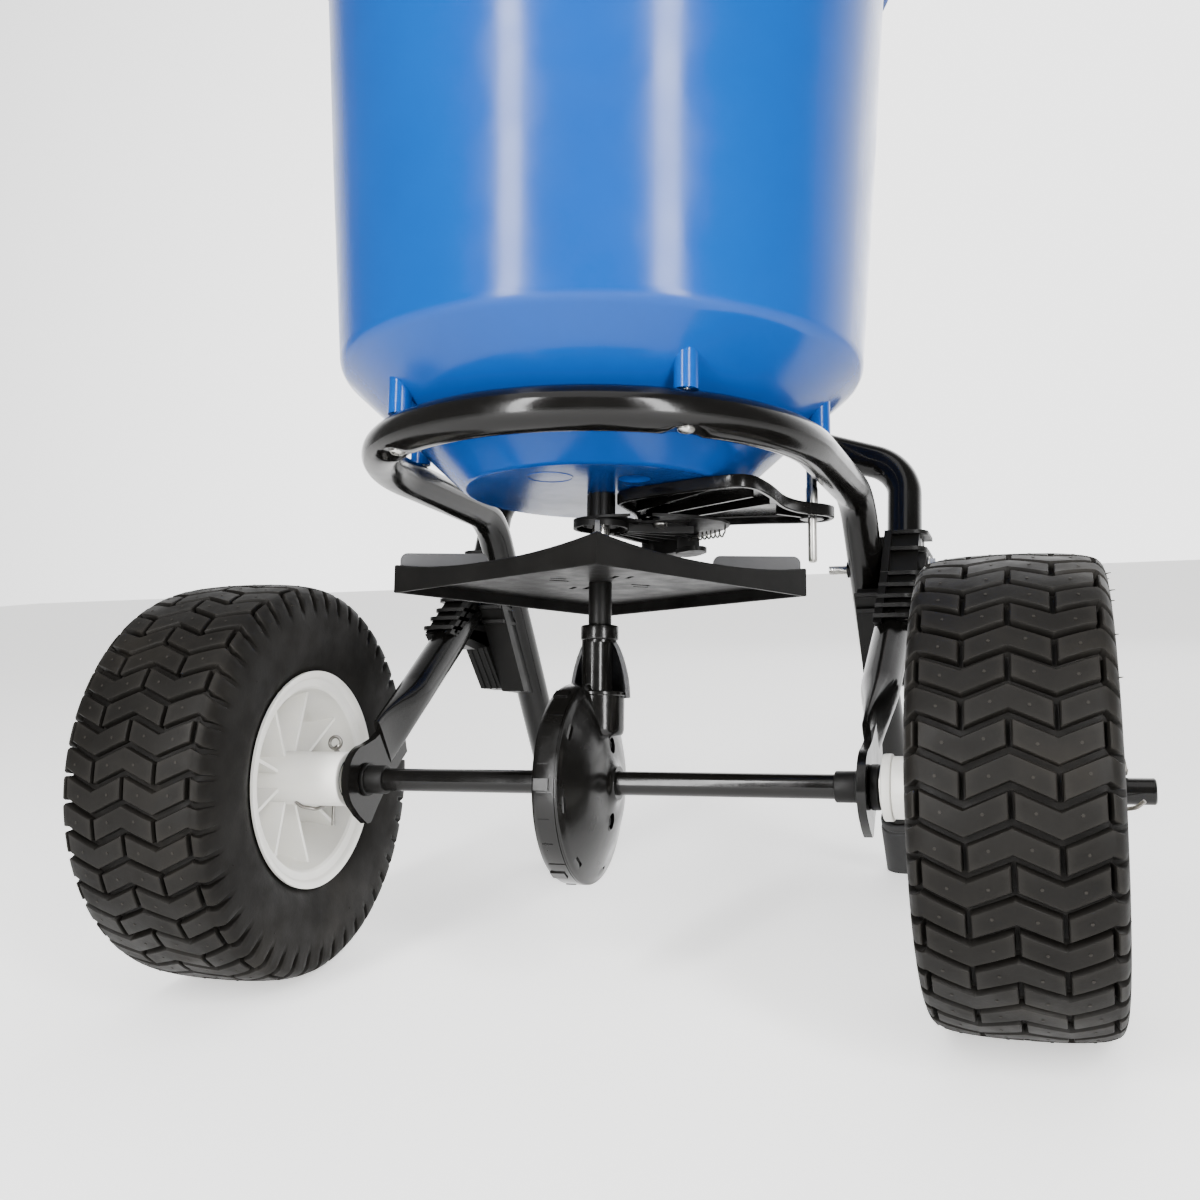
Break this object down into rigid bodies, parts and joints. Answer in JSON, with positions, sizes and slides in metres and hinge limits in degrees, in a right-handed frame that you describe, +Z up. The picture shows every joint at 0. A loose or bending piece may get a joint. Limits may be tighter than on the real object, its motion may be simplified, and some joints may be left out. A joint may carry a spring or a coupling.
{
  "type": "garden spreader",
  "caption": "Walk-behind broadcast garden spreader: round hopper over a geared impeller, pneumatic wheels, tube frame with rear feet, T handle and shut-off lever.",
  "frame": {"origin": "point on the floor under the middle of the axle, with the spreader parked on its wheels and rear feet", "axes": "+Z up; +Y back towards the handle, the side the feet are on; +X to the right seen from the front, along the axle"},
  "size_m": [0.556, 0.8541, 0.8938],
  "materials": {
    "gloss_black_paint": "gloss powder coat",
    "rubber": "matte",
    "black_plastic": "fine moulded grain",
    "gloss_black_plastic": "gloss",
    "zinc_steel": "bright zinc",
    "blue_plastic": "gloss",
    "foam_grip": "closed-cell foam",
    "tyre_rubber": "matte",
    "white_plastic": "satin",
    "gear_nylon": "satin",
    "red_plastic": "gloss"
  },
  "bodies": {
    "frame": {"hoop_tube": "gloss_black_paint", "foot_left": "rubber", "foot_right": "rubber", "lower_tube_left": "gloss_black_paint", "lower_tube_right": "gloss_black_paint", "clamp_outer_left": "black_plastic", "clamp_outer_right": "black_plastic", "clamp_inner_left": "black_plastic", "clamp_inner_right": "black_plastic", "clamp_bolts": "zinc_steel", "clamp_nuts": "gloss_black_paint", "axle_bushes": "black_plastic", "hopper": "blue_plastic", "hopper_screws": "zinc_steel", "hopper_bush": "black_plastic", "gate_guide": "black_plastic", "guide_screw": "zinc_steel", "gearbox_left": "gloss_black_plastic", "gearbox_right": "gloss_black_plastic", "gearbox_screws": "zinc_steel", "upper_tube_left": "gloss_black_paint", "upper_tube_right": "gloss_black_paint", "handle_brace": "gloss_black_paint", "brace_bolts": "zinc_steel", "joint_bolts": "zinc_steel", "joint_wing_nuts": "black_plastic", "handlebar": "gloss_black_paint", "bar_saddles": "black_plastic", "saddle_bolts": "zinc_steel", "grip_left": "foam_grip", "grip_right": "foam_grip", "bar_caps": "rubber", "lever_bracket": "black_plastic", "bracket_bolts": "zinc_steel", "lever_pivot": "zinc_steel"},
    "drive_axle": {"axle": "gloss_black_paint", "tyre_left": "tyre_rubber", "rim_left": "white_plastic", "valve_left": "rubber", "hub_pin_left": "zinc_steel", "axle_washers": "zinc_steel", "end_pin_right": "zinc_steel", "ring_gear": "gear_nylon", "ring_gear_pin": "zinc_steel"},
    "free_wheel": {"tyre_right": "tyre_rubber", "rim_right": "white_plastic", "valve_right": "rubber"},
    "spinner": {"spinner_shaft": "zinc_steel", "pinion": "gear_nylon", "impeller": "black_plastic", "impeller_pin": "zinc_steel", "agitator": "zinc_steel"},
    "gate": {"gate_plate": "black_plastic"},
    "rod": {"control_rod": "zinc_steel", "rod_cap": "black_plastic"},
    "lever": {"lever": "black_plastic", "lever_knob": "red_plastic"},
    "rate_stop": {"rate_stop": "zinc_steel", "stop_screw": "black_plastic"}
  },
  "joints": [
    {"name": "axle_spin", "type": "hinge", "parent": "frame", "child": "drive_axle", "pos_m": [0, 0, 0.1143], "axis": [1, 0, 0], "continuous": true},
    {"name": "free_wheel_spin", "type": "hinge", "parent": "frame", "child": "free_wheel", "pos_m": [0.2166, 0, 0.1143], "axis": [1, 0, 0], "continuous": true},
    {"name": "impeller_spin", "type": "hinge", "parent": "frame", "child": "spinner", "pos_m": [0, 0.01835, 0.21839], "axis": [0, 0.1736, 0.9848], "continuous": true},
    {"name": "lever_swing", "type": "hinge", "parent": "frame", "child": "lever", "pos_m": [0.0913, 0.55016, 0.68451], "axis": [-1, 0, 0], "range_deg": [0, 30]},
    {"name": "gate_swing", "type": "hinge", "parent": "frame", "child": "gate", "pos_m": [0.012, 0.09366, 0.25386], "axis": [0, 0.1736, 0.9848], "range_deg": [0, 22.1]},
    {"name": "rod_swing", "type": "hinge", "parent": "gate", "child": "rod", "pos_m": [0.105, 0.09563, 0.25351], "axis": [0, 0.1736, 0.9848], "range_deg": [-22.1, 0]},
    {"name": "rate_stop_swing", "type": "hinge", "parent": "frame", "child": "rate_stop", "pos_m": [0.0913, 0.55016, 0.68451], "axis": [-1, 0, 0], "range_deg": [-26, 0]}
  ],
  "couplings": [
    {"joint": "impeller_spin", "follows": "axle_spin", "ratio": 4},
    {"joint": "gate_swing", "follows": "lever_swing", "ratio": 0.73333},
    {"joint": "rod_swing", "follows": "lever_swing", "ratio": -0.73333}
  ]
}
